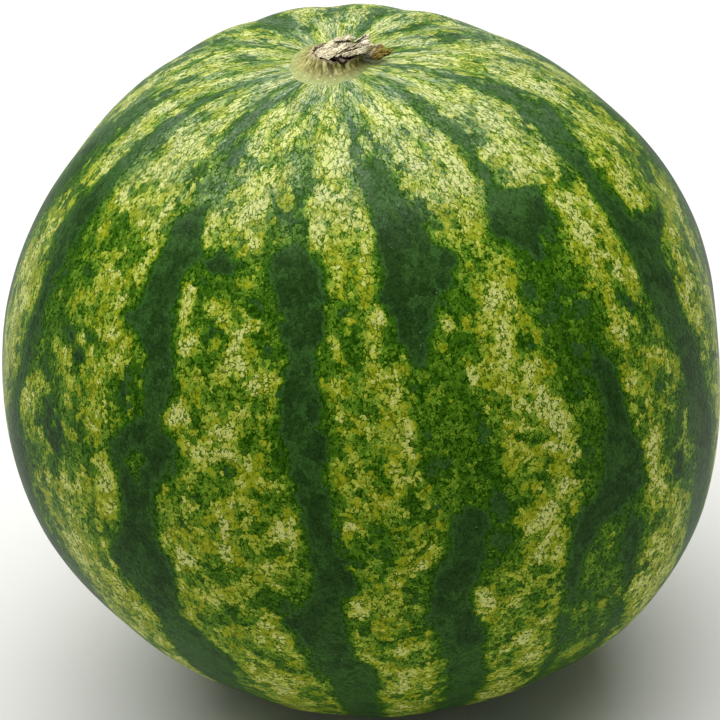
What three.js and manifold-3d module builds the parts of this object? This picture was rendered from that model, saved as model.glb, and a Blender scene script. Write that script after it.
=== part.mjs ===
// A round, striped watermelon as picked, with the dried stub of its stem.
// Millimetres, +Z up. It stands on a small flat spot at its blossom end, centred on the origin,
// and its front faces -Y. Places on the fruit are given as on a globe: lon is the angle from the
// front, positive towards +X, and lat is the angle above the fruit's middle, both in degrees.

import * as THREE from "three";
import { mergeVertices } from "three/addons/utils/BufferGeometryUtils.js";
import Module from "manifold-3d";

const wasm = await Module();
wasm.setup();

// Driving dimensions of the fruit
const fruitRadius = 120;
const fruitHalfHeight = 118;
const aroundSteps = 90;
const upSteps = 48;

// The fruit grew on the ground and isn't a true globe: each swell raises or sinks a broad place.
const swells = [
  { lon: 62, lat: -28, rise: 6.5, spread: 20 },
  { lon: 80, lat: -8, rise: -3.5, spread: 18 },
  { lon: 92, lat: 14, rise: 1.4, spread: 18 },
  { lon: 128, lat: 54, rise: -0.8, spread: 16 },
  { lon: -170, lat: 64, rise: 3.3, spread: 20 },
  { lon: -107, lat: 38, rise: -0.6, spread: 20 },
  { lon: -88, lat: 8, rise: 1.0, spread: 18 },
  { lon: -72, lat: -16, rise: 0.8, spread: 18 },
  { lon: -50, lat: -39, rise: -1.8, spread: 20 },
];

const stemHollow = { depth: 8, spread: 19 };
const ribs = { count: 15, height: 0.4 };
const folds = { count: 14, depth: 0.7, middle: 20, spread: 9, sharpness: 3 };

// The blossom end is pressed flat where the fruit stands; softness rounds the edge of the flat.
const restingSpot = { lift: 3.2, softness: 1.2 };
const middleHeight = fruitHalfHeight - restingSpot.lift;

// Driving dimensions of the stem stub. Its foot is set a little left and forward of the hollow's
// middle, and its neck leans to the right.
const seatGap = 0.3;
const collarAround = 54;
const collarPlace = { x: -2.2, y: -1.6, lean: 2.6 };
const collarProfile = [
  [0, 0],
  [13.7, 0],
  [14.2, 0.4],
  [12.9, 0.8],
  [11.4, 1.4],
  [10.0, 2.2],
  [9.0, 3.1],
  [8.5, 4.1],
  [7.6, 4.6],
  [0, 4.8],
];
const flutes = { count: 19, depth: 0.35, wander: 0.35 };

// The torn, dried end: flakes of bark that lie over each other on the neck and trail towards +X.
// at is x, y and height above the seat; size is half length, half width and thickness; turned is
// heading about Z, how far the tip lifts and how far the far edge lifts, in degrees.
const flakeAround = 24;
const flakeUp = 8;
const flakes = [
  // the plug that fills the neck
  { at: [1.0, -0.8, 3.9], size: [8.0, 7.2, 3.0], turned: [0, 0, 4], ragged: 0.03 },
  // the broad top flake
  { at: [1.6, -0.4, 4.9], size: [9.0, 7.2, 1.7], turned: [14, 2, 6], ragged: 0.06 },
  // the tail that droops to a point
  { at: [11.4, -3.0, 3.6], size: [7.6, 4.3, 2.4], turned: [6, -8, 8], ragged: 0.05 },
  // the back edge, curled up
  { at: [5.2, 4.4, 5.3], size: [7.0, 2.1, 1.1], turned: [6, 2, 12], ragged: 0.12 },
  // the long ridge across the top
  { at: [6.0, 0.6, 5.3], size: [7.4, 1.9, 1.3], turned: [18, 0, -6], ragged: 0.12 },
  // the front edge, bent down
  { at: [4.2, -6.2, 3.5], size: [6.8, 2.5, 1.9], turned: [10, -3, 20], ragged: 0.1 },
  // the short flake on the left
  { at: [-2.6, -1.8, 5.0], size: [4.9, 4.4, 1.0], turned: [30, 4, 8], ragged: 0.09 },
];

const radians = THREE.MathUtils.degToRad;
const degrees = THREE.MathUtils.radToDeg;

function globeDirection(lon, lat) {
  const flat = Math.cos(lat);
  return new THREE.Vector3(flat * Math.sin(lon), -flat * Math.cos(lon), Math.sin(lat));
}

const swellDirections = swells.map((s) => globeDirection(radians(s.lon), radians(s.lat)));

function bell(distance, spread) {
  return Math.exp(-(distance ** 2) / (2 * spread ** 2));
}

// Distance from the fruit's middle to its skin in a direction
function skinRadius(direction) {
  const up = direction.z;
  const level = Math.hypot(direction.x, direction.y);
  const lon = Math.atan2(direction.x, -direction.y);
  const fromStem = degrees(Math.acos(THREE.MathUtils.clamp(up, -1, 1)));
  let radius = 1 / Math.hypot(level / fruitRadius, up / fruitHalfHeight);
  swells.forEach((swell, i) => {
    radius += swell.rise * bell(degrees(direction.angleTo(swellDirections[i])), swell.spread);
  });
  const crease = (0.5 + 0.5 * Math.cos(folds.count * lon)) ** folds.sharpness;
  radius -= folds.depth * crease * bell(fromStem - folds.middle, folds.spread);
  radius += ribs.height * level * Math.cos(ribs.count * lon);
  return radius - stemHollow.depth * Math.exp(-((fromStem / stemHollow.spread) ** 2));
}

// The larger of two heights, rounded over where they meet and exact away from it
function softMax(a, b, softness) {
  const near = Math.max(softness - Math.abs(a - b), 0) / softness;
  return Math.max(a, b) + (near * near * softness) / 4;
}

function makeFruit() {
  const geometry = new THREE.SphereGeometry(1, aroundSteps, upSteps);
  geometry.rotateX(Math.PI / 2);
  const position = geometry.getAttribute("position");
  const point = new THREE.Vector3();
  for (let i = 0; i < position.count; i++) {
    point.fromBufferAttribute(position, i).normalize();
    point.multiplyScalar(skinRadius(point));
    const height = softMax(point.z + middleHeight, 0, restingSpot.softness);
    position.setXYZ(i, point.x, point.y, height);
  }
  return geometry;
}

// Height of the fruit's skin near the stem, above a point of the ground
function seatHeight(x, y) {
  const across = Math.hypot(x, y);
  const lon = Math.atan2(x, -y);
  let radius = fruitHalfHeight;
  let direction = globeDirection(lon, Math.PI / 2);
  for (let pass = 0; pass < 6; pass++) {
    direction = globeDirection(lon, Math.acos(across / radius));
    radius = skinRadius(direction);
  }
  return middleHeight + radius * direction.z;
}

function solidFrom(geometry) {
  const bare = geometry.clone();
  bare.deleteAttribute("normal");
  bare.deleteAttribute("uv");
  const merged = mergeVertices(bare, 1e-3);
  const vertProperties = new Float32Array(merged.getAttribute("position").array);
  const triVerts = new Uint32Array(merged.index.array);
  return new wasm.Manifold(new wasm.Mesh({ numProp: 3, vertProperties, triVerts }));
}

function geometryFrom(solid) {
  const mesh = solid.getMesh();
  const geometry = new THREE.BufferGeometry();
  geometry.setAttribute("position", new THREE.BufferAttribute(mesh.vertProperties, 3));
  geometry.setIndex(new THREE.BufferAttribute(mesh.triVerts, 1));
  geometry.computeVertexNormals();
  return geometry;
}

// The pale foot of the stem, flared onto the fruit and fluted from its neck to its rim
function makeCollar() {
  const profile = collarProfile.map(([radius, height]) => new THREE.Vector2(radius, height));
  const geometry = new THREE.LatheGeometry(profile, collarAround);
  geometry.rotateX(Math.PI / 2);
  const position = geometry.getAttribute("position");
  const neckHeight = collarProfile.at(-1)[1];
  for (let i = 0; i < position.count; i++) {
    const height = position.getZ(i);
    const across = Math.hypot(position.getX(i), position.getY(i));
    const angle = Math.atan2(position.getY(i), position.getX(i));
    const grip = height / neckHeight;
    const wave = Math.cos(flutes.count * angle + flutes.wander * Math.sin(3 * angle));
    const pull = across > 0 ? 1 + (flutes.depth * grip * wave) / across : 1;
    const x = position.getX(i) * pull + collarPlace.x + collarPlace.lean * grip;
    const y = position.getY(i) * pull + collarPlace.y;
    position.setXYZ(i, x, y, seatHeight(x, y) + seatGap + height);
  }
  return geometry;
}

// One flake: a thin pillow with a ragged outline that narrows to its tip
function makeFlake(flake, number) {
  const [x0, y0, height] = flake.at;
  const [halfLength, halfWidth, thickness] = flake.size;
  const [heading, tipLift, farEdgeLift] = flake.turned;
  const geometry = new THREE.SphereGeometry(1, flakeAround, flakeUp);
  geometry.rotateX(Math.PI / 2);
  const position = geometry.getAttribute("position");
  for (let i = 0; i < position.count; i++) {
    const along = position.getX(i);
    const across = position.getY(i);
    const angle = Math.atan2(across, along);
    const coarse = Math.sin(5 * angle + 1.7 * number);
    const fine = Math.sin(11 * angle + 2.9 * number);
    const tear = 1 + flake.ragged * (coarse + 0.6 * fine);
    const taper = 1 - 0.35 * Math.max(along, 0);
    const x = halfLength * along * tear;
    const y = halfWidth * across * tear * taper;
    position.setXYZ(i, x, y, (thickness / 2) * position.getZ(i));
  }
  geometry.rotateX(radians(farEdgeLift));
  geometry.rotateY(radians(-tipLift));
  geometry.rotateZ(radians(heading));
  geometry.translate(x0, y0, seatHeight(0, 0) + seatGap + height);
  return geometry;
}

function makeStemStub() {
  const torn = flakes.map((flake, number) => solidFrom(makeFlake(flake, number)));
  const whole = torn.reduce((sum, flake) => sum.add(flake), solidFrom(makeCollar()));
  return geometryFrom(whole);
}

function piece(name, geometry, colour, roughness) {
  const material = new THREE.MeshStandardMaterial({ color: colour, roughness, metalness: 0 });
  const mesh = new THREE.Mesh(geometry, material);
  mesh.name = name;
  return mesh;
}

const watermelon = new THREE.Group();
watermelon.add(piece("fruit", makeFruit(), 0x3f6b24, 0.38));
watermelon.add(piece("stem_stub", makeStemStub(), 0xb39a6b, 0.85));

export default watermelon;
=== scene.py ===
import math

import bpy
import numpy as np
from mathutils import Matrix, Vector, noise
from mathutils.bvhtree import BVHTree


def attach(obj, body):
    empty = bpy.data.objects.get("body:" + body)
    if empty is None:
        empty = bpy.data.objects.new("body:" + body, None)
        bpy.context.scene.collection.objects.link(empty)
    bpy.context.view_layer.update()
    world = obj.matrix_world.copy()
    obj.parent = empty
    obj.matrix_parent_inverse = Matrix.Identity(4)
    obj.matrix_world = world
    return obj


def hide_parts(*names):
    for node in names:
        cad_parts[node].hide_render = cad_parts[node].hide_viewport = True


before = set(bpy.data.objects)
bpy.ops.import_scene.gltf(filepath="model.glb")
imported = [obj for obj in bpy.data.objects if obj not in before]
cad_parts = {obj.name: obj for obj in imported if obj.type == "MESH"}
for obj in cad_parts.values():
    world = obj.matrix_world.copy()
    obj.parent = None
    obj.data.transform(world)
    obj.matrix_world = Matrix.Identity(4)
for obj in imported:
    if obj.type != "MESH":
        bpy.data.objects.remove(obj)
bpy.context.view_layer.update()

# A round striped watermelon with the dried stub of its stem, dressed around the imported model.
# Metres, +Z up, front towards -Y. Places on the fruit are as on a globe, in degrees: lon is
# measured from the front towards +X, lat upwards from the fruit's middle.

mm = 0.001


# Node graphs

class Wire:
    # One output socket, with the arithmetic that shader and geometry maths need
    def __init__(self, graph, socket):
        self.graph = graph
        self.socket = socket

    def sibling(self, name):
        # Another output of the same node
        return Wire(self.graph, self.socket.node.outputs[name])

    def __add__(self, other):
        return self.graph.maths("ADD", self, other)

    def __sub__(self, other):
        return self.graph.maths("SUBTRACT", self, other)

    def __rsub__(self, other):
        return self.graph.maths("SUBTRACT", other, self)

    def __mul__(self, other):
        return self.graph.maths("MULTIPLY", self, other)

    def __truediv__(self, other):
        return self.graph.maths("DIVIDE", self, other)

    def __rtruediv__(self, other):
        return self.graph.maths("DIVIDE", other, self)

    def __pow__(self, other):
        return self.graph.maths("POWER", self, other)

    __radd__ = __add__
    __rmul__ = __mul__


class Graph:
    def __init__(self, tree):
        self.tree = tree

    def feed(self, socket, value):
        if isinstance(value, Wire):
            self.tree.links.new(value.socket, socket)
        else:
            socket.default_value = colour(value) if isinstance(value, str) else value

    def make(self, kind, settings=None, values=None, out=0):
        node = self.tree.nodes.new(kind)
        for name, value in (settings or {}).items():
            if name == "stops":
                self.setStops(node.color_ramp, value)
            else:
                setattr(node, name, value)
        for key, value in (values or {}).items():
            self.feed(node.inputs[key], value)
        return Wire(self, node.outputs[out])

    def setStops(self, ramp, stops):
        while len(ramp.elements) > len(stops):
            ramp.elements.remove(ramp.elements[-1])
        while len(ramp.elements) < len(stops):
            ramp.elements.new(1.0)
        for element, (place, code) in zip(ramp.elements, stops):
            element.position = place
            element.color = colour(code)

    def maths(self, operation, *values):
        return self.make("ShaderNodeMath", {"operation": operation}, dict(enumerate(values)))

    def vector(self, operation, *values, out=0):
        return self.make("ShaderNodeVectorMath", {"operation": operation}, dict(enumerate(values)), out)

    def scaled(self, vector, factor):
        return self.make("ShaderNodeVectorMath", {"operation": "SCALE"}, {0: vector, "Scale": factor})

    def parts(self, vector):
        node = self.make("ShaderNodeSeparateXYZ", None, {0: vector}).socket.node
        return [Wire(self, socket) for socket in node.outputs]

    def joined(self, x, y, z):
        return self.make("ShaderNodeCombineXYZ", None, {0: x, 1: y, 2: z})

    def mapped(self, value, low, high, toLow=0.0, toHigh=1.0):
        settings = {"interpolation_type": "SMOOTHSTEP"}
        return self.make("ShaderNodeMapRange", settings, {0: value, 1: low, 2: high, 3: toLow, 4: toHigh})

    def fading(self, value, low, high):
        return self.mapped(value, low, high, 1.0, 0.0)

    def band(self, value, low, risen, falling, high):
        # 1 from risen to falling, 0 below low and above high
        return self.mapped(value, low, risen) * self.fading(value, falling, high)

    def mixColour(self, factor, first, second, blend="MIX"):
        settings = {"data_type": "RGBA", "blend_type": blend}
        return self.make("ShaderNodeMix", settings, {0: factor, 6: first, 7: second}, 2)

    def noise(self, place, size, detail=2.0, roughness=0.5, out=0):
        values = {"Vector": place, "Scale": 1 / size, "Detail": detail, "Roughness": roughness}
        return self.make("ShaderNodeTexNoise", None, values, out)

    def cells(self, place, size, feature="F1", out=0):
        values = {"Vector": place, "Scale": 1 / size}
        return self.make("ShaderNodeTexVoronoi", {"feature": feature}, values, out)

    def ramp(self, value, stops):
        return self.make("ShaderNodeValToRGB", {"stops": stops}, {0: value})

    def attribute(self, name):
        return self.make("ShaderNodeAttribute", {"attribute_name": name}, None, 2)

    def objectPlace(self):
        return self.make("ShaderNodeTexCoord", None, None, 3)

    def bump(self, height, strength, distance):
        values = {"Strength": strength, "Distance": distance, "Height": height}
        return self.make("ShaderNodeBump", None, values)


def newMaterial(name, constants):
    material = bpy.data.materials.new(name)
    material.use_nodes = True
    tree = material.node_tree
    tree.nodes.clear()
    graph = Graph(tree)
    output = tree.nodes.new("ShaderNodeOutputMaterial")
    surface = graph.make("ShaderNodeBsdfPrincipled", None, constants)
    tree.links.new(surface.socket, output.inputs["Surface"])
    return material, graph, surface.socket.node


def colour(code):
    shares = [int(code[i:i + 2], 16) / 255 for i in (0, 2, 4)]
    linear = [s / 12.92 if s <= 0.04045 else ((s + 0.055) / 1.055) ** 2.4 for s in shares]
    return (*linear, 1.0)


# The fruit's form: the same rule as the solid's, on a much finer grid

fruit = {
    "radius": 120 * mm,
    "halfHeight": 118 * mm,
    "around": 360,
    "rings": 240,
    "hollowDepth": 8 * mm,
    "hollowSpread": 19.0,
    "ribCount": 15,
    "ribHeight": 0.4 * mm,
    "foldCount": 14,
    "foldDepth": 0.7 * mm,
    "foldMiddle": 20.0,
    "foldSpread": 9.0,
    "foldSharpness": 3,
    "restingLift": 3.2 * mm,
    "restingSoftness": 1.2 * mm,
    "unevenSize": 26 * mm,
    "unevenHeight": 0.5 * mm,
    "unevenFrom": 9.0,
    "scarRadius": 3.5 * mm,
    "scarDepth": 0.8 * mm,
    # lon, lat, rise, spread; a scratch program fitted the rises to the photo's outline
    "swells": [
        (62, -28, 6.5 * mm, 20),
        (80, -8, -3.5 * mm, 18),
        (92, 14, 1.4 * mm, 18),
        (128, 54, -0.8 * mm, 16),
        (-170, 64, 3.3 * mm, 20),
        (-107, 38, -0.6 * mm, 20),
        (-88, 8, 1.0 * mm, 18),
        (-72, -16, 0.8 * mm, 18),
        (-50, -39, -1.8 * mm, 20),
    ],
}
middleHeight = fruit["halfHeight"] - fruit["restingLift"]


def globeDirection(lon, lat):
    lon, lat = math.radians(lon), math.radians(lat)
    return Vector((math.cos(lat) * math.sin(lon), -math.cos(lat) * math.cos(lon), math.sin(lat)))


def addObject(name, data):
    added = bpy.data.objects.new(name, data)
    bpy.context.scene.collection.objects.link(added)
    return added


def treeInput(tree, name, kind):
    return tree.interface.new_socket(name, in_out="INPUT", socket_type=kind).identifier


def inputName(key):
    # halfHeight becomes Half Height
    return "".join(" " + letter if letter.isupper() else letter for letter in key).title()


def bell(graph, distance, spread):
    return graph.maths("EXPONENT", (distance / spread) ** 2 * -0.5)


def buildFruitTree():
    tree = bpy.data.node_groups.new("melonForm", "GeometryNodeTree")
    graph = Graph(tree)
    sizes = {
        "Around": ("NodeSocketInt", fruit["around"]),
        "Rings": ("NodeSocketInt", fruit["rings"]),
        "Skin": ("NodeSocketMaterial", None),
    }
    for key in fruit:
        if key not in ("around", "rings", "swells", "unevenFrom", "foldSharpness"):
            sizes[inputName(key)] = ("NodeSocketFloat", fruit[key])
    for number, swell in enumerate(fruit["swells"], 1):
        sizes[f"Swell {number} Rise"] = ("NodeSocketFloat", swell[2])
    identifiers = {name: treeInput(tree, name, kind) for name, (kind, value) in sizes.items()}
    tree.interface.new_socket("Geometry", in_out="OUTPUT", socket_type="NodeSocketGeometry")
    entry = tree.nodes.new("NodeGroupInput")
    given = {name: Wire(graph, entry.outputs[name]) for name in sizes}

    sphereValues = {"Segments": given["Around"], "Rings": given["Rings"], "Radius": 1.0}
    sphere = graph.make("GeometryNodeMeshUVSphere", None, sphereValues)
    direction = graph.vector("NORMALIZE", graph.make("GeometryNodeInputPosition"))
    x, y, up = graph.parts(direction)
    level = graph.maths("SQRT", x * x + y * y)
    lon = graph.maths("ARCTAN2", x, 0 - y)
    fromStem = graph.maths("ARCCOSINE", up) * (180 / math.pi)
    globe = (level / given["Radius"]) ** 2 + (up / given["Half Height"]) ** 2
    radius = 1 / graph.maths("SQRT", globe)
    for number, (swellLon, swellLat, rise, spread) in enumerate(fruit["swells"], 1):
        facing = graph.vector("DOT_PRODUCT", direction, globeDirection(swellLon, swellLat), out=1)
        apart = graph.maths("ARCCOSINE", graph.maths("MINIMUM", facing, 1.0)) * (180 / math.pi)
        radius = radius + given[f"Swell {number} Rise"] * bell(graph, apart, spread)
    crease = (graph.maths("COSINE", lon * given["Fold Count"]) * 0.5 + 0.5) ** fruit["foldSharpness"]
    folds = bell(graph, fromStem - given["Fold Middle"], given["Fold Spread"])
    radius = radius - given["Fold Depth"] * crease * folds
    radius = radius + given["Rib Height"] * level * graph.maths("COSINE", lon * given["Rib Count"])
    hollow = graph.maths("EXPONENT", 0 - (fromStem / given["Hollow Spread"]) ** 2)
    radius = radius - given["Hollow Depth"] * hollow
    unevenValues = {"Vector": graph.scaled(direction, given["Radius"]), "Scale": 1 / given["Uneven Size"]}
    uneven = graph.make("ShaderNodeTexNoise", None, {**unevenValues, "Detail": 1.0})
    calm = 1 - bell(graph, fromStem, fruit["unevenFrom"])
    radius = radius + (uneven - 0.5) * given["Uneven Height"] * calm

    px, py, pz = graph.parts(graph.scaled(direction, radius))
    height = pz + (given["Half Height"] - given["Resting Lift"])
    softness = given["Resting Softness"]
    near = graph.maths("MAXIMUM", softness - graph.maths("ABSOLUTE", height), 0.0) / softness
    height = graph.maths("MAXIMUM", height, 0.0) + near * near * softness * 0.25
    fromAxis = graph.maths("SQRT", px * px + py * py)
    under = graph.maths("LESS_THAN", up, 0.0)
    scar = graph.maths("EXPONENT", 0 - (fromAxis / given["Scar Radius"]) ** 4) * under
    height = height + scar * given["Scar Depth"]

    moved = {"Geometry": sphere, "Position": graph.joined(px, py, height)}
    shaped = graph.make("GeometryNodeSetPosition", None, moved)
    smooth = graph.make("GeometryNodeSetShadeSmooth", None, {"Geometry": shaped})
    real = graph.make("GeometryNodeRealizeInstances", None, {"Geometry": smooth})
    dressed = graph.make("GeometryNodeSetMaterial", None, {"Geometry": real, "Material": given["Skin"]})
    leave = tree.nodes.new("NodeGroupOutput")
    tree.links.new(dressed.socket, leave.inputs["Geometry"])
    return tree, sizes, identifiers


def growFruit(skin):
    tree, sizes, identifiers = buildFruitTree()
    seed = addObject("melonSeed", bpy.data.meshes.new("melonSeed"))
    modifier = seed.modifiers.new("form", "NODES")
    modifier.node_group = tree
    for name, (kind, value) in sizes.items():
        modifier[identifiers[name]] = skin if name == "Skin" else value
    bpy.context.view_layer.update()
    grown = seed.evaluated_get(bpy.context.evaluated_depsgraph_get())
    mesh = bpy.data.meshes.new_from_object(grown)
    bpy.data.objects.remove(seed)
    mesh.name = "melonRind"
    return addObject("melonRind", mesh)


# Where the rind is light: the edges of each pale stripe as lat: (left lon, right lon),
# from the stem down. Between the places given, an edge runs straight.

stripes = [
    {75: (-88, -74), 65: (-87, -74), 55: (-85, -74), 47: (-84, -75), 43: (-85, -79), 38: (-87, -78),
     33: (-89, -74), 28: (-90, -72), 15: (-88, -71), 10: (-86, -74), 5: (-84, -77), -20: (-86, -77),
     -60: (-84, -74)},
    {80: (-68, -47), 70: (-67, -50), 60: (-66, -48), 55: (-66, -47), 45: (-66, -43), 40: (-62, -44),
     35: (-67, -46), 31: (-66, -47), 29: (-67, -39), 20: (-66, -39), 16: (-67, -42), 13: (-69, -45),
     9: (-69, -44), 5: (-66, -41), 0: (-64, -42), -6: (-62, -46), -12: (-60, -42), -16: (-58, -40),
     -25: (-56, -40), -60: (-56, -42)},
    {80: (-38, -18), 70: (-35, -19), 63: (-33, -20), 58: (-34, -20), 50: (-35, -19), 46: (-34, -19),
     44: (-28, -19), 42: (-28, -17), 40: (-34, -15), 35: (-34, -14), 30: (-33, -13), 25: (-31, -14),
     20: (-34, -15), 17: (-31, -15), 14: (-28, -13), 10: (-33, -12), 5: (-35, -11), 0: (-34, -11),
     -4: (-33, -14), -12: (-33, -16), -17: (-32, -14), -22: (-28, -14), -27: (-26, -12), -60: (-28, -12)},
    {80: (-11, 4), 70: (-10, 3), 60: (-10, 3), 50: (-9, 5), 44: (-7, 7), 38: (-6, 7), 28: (-8, 7),
     17: (-7, 8), 7: (-6, 9), 1: (-6, 9), -4: (-4, 7), -8: (-6, 5), -12: (-6, 6), -20: (-5, 7),
     -25: (-2, 7), -60: (-2, 7)},
    {80: (12, 32), 70: (14, 30), 62: (15, 32), 55: (15, 34), 51: (18, 34), 48: (20, 31), 42: (21, 29),
     38: (16, 30), 32: (14, 31), 20: (17, 31), 15: (18, 34), 10: (19, 33), 0: (20, 31), -5: (17, 29),
     -9: (13, 28), -14: (14, 28), -18: (17, 28), -60: (17, 29)},
    {80: (43, 67), 70: (45, 64), 62: (46, 66), 58: (46, 63), 56: (39, 60), 50: (39, 59), 48: (47, 59),
     40: (44, 58), 32: (43, 56), 22: (43, 56), 12: (43, 58), 3: (44, 57), -2: (44, 58), -6: (44, 52),
     -10: (43, 57), -20: (43, 58), -60: (44, 56)},
    {80: (76, 99), 70: (77, 98), 50: (79, 96), 48: (68, 95), 44: (65, 93), 35: (66, 90), 33: (72, 90),
     31: (75, 90), 28: (66, 88), 17: (64, 84), 10: (65, 80), 0: (68, 76), -30: (68, 80), -60: (68, 78)},
]

# The stripes on the side that faces away, as middle lon and half width, and how they wander
farStripes = {
    "middles": [(105, 6), (126, 6), (148, 8), (169, 6), (-171, 6), (-137, 8), (-111, 9)],
    "stemEnd": 0.6,
    "wander": 2.4,
    "waver": 3.2,
    # a slow and a fast wave around the fruit, and the fast one's share
    "wanderWaves": (3.1, 7.3, 0.6),
    "leftWaves": (11, 23, 0.7),
    "rightWaves": (12, 21, 0.7),
    "calmFrom": 80,
    "calmOver": 30,
    "patchLifts": [0.24, 0.2, -0.25, -0.4],
    "patchSize": (2.5, 5.5),
    "seed": 11,
}

# The plain dark ground between them, in the same way; what is left over is mottled mid green
darkGround = [
    {78: (-81, -70), 60: (-80, -69), 50: (-76, -68), 40: (-76, -68), 34: (-73, -68), 28: (-71, -68),
     16: (-70, -67), 6: (-74, -67), -10: (-76, -66), -16: (-76, -62), -24: (-74, -58), -60: (-72, -60)},
    {74: (-46, -42), 68: (-44, -39), 62: (-44, -33), 57: (-43, -35), 50: (-42, -35), 45: (-43, -33),
     40: (-43.5, -36), 35: (-43, -35.5), 33: (-47, -35), 31: (-41, -34), 25: (-38.5, -32.5),
     20: (-38, -33), 18: (-40, -33), 16: (-43.5, -30), 13: (-43.5, -32.5), 8: (-42, -35),
     3: (-41, -35.5), 0: (-42.5, -35), -4: (-45.5, -32), -8: (-46, -32.5), -10: (-43, -33),
     -15: (-40, -34.5), -20: (-40, -30), -25: (-41, -27), -30: (-42, -30), -60: (-43, -34)},
    {48: (-14, -12), 46: (-18, -9), 42: (-16, -7.5), 38: (-13.5, -6), 30: (-13.4, -7), 25: (-14.4, -6.3),
     20: (-13.8, -5.6), 17: (-12.8, -4), 13: (-12.2, -7), 8: (-11.6, -5.8), 2: (-10.8, -4.5),
     -3: (-10.3, -4), -7: (-12, -6.3), -10: (-14, -6.3), -12: (-17, -6), -16: (-12.8, -6.3),
     -20: (-13, -5), -24: (-12, -1.5), -27: (-11, -1.5), -30: (-11, -2.5), -60: (-10.6, -3.8)},
    {62: (6, 10), 59: (3, 13), 55: (4, 14), 50: (4.5, 16), 45: (6.3, 18), 42: (6.6, 23), 40: (6.6, 18),
     37: (6.6, 14.4), 33: (6.8, 12.5), 29: (8, 11), 27: (9.6, 9.7)},
    {7: (13, 13.1), 5: (11, 16.5), 0: (9.6, 16), -4: (7.6, 15.5), -7: (6.6, 13.4), -10: (6.3, 13),
     -14: (7, 14.4), -17: (7.5, 16), -20: (8, 15), -25: (9.4, 16), -30: (9.4, 17), -60: (10, 17)},
    {73: (35, 38), 68: (32.5, 40.6), 64: (33, 42.5), 60: (35.5, 41), 57: (35.5, 38.7), 53: (36, 38.2),
     50: (33, 43.7), 48: (30.6, 47.5), 45: (30.6, 46), 42: (32.5, 41), 40: (36, 39), 38: (37, 37.1)},
    {24: (40, 40.1), 20: (38, 42.3), 15: (38.5, 43), 10: (37.5, 42.5), 5: (35.8, 43.7), 2: (35, 44.4),
     -1: (30.6, 43.7), -3: (29, 39), -5: (28.7, 34.5), -8: (28.4, 32), -15: (28.7, 31), -60: (29, 31)},
    {-4: (41, 41.1), -8: (39, 43), -15: (40, 42.6), -60: (40.5, 43)},
    {76: (65, 70), 70: (62, 71), 65: (65.6, 71), 62: (65.4, 70.6), 58: (64, 76), 55: (61, 77), 50: (60, 69),
     47: (60.3, 66), 43: (58.7, 65), 36: (57.8, 65), 33: (57.5, 70), 31: (57.3, 74), 28: (56.5, 66),
     22: (55.6, 65), 18: (56.5, 63.7), 14: (58.7, 65), 5: (58, 65), -5: (60, 67), -10: (58, 66),
     -60: (59, 66)},
]

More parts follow.
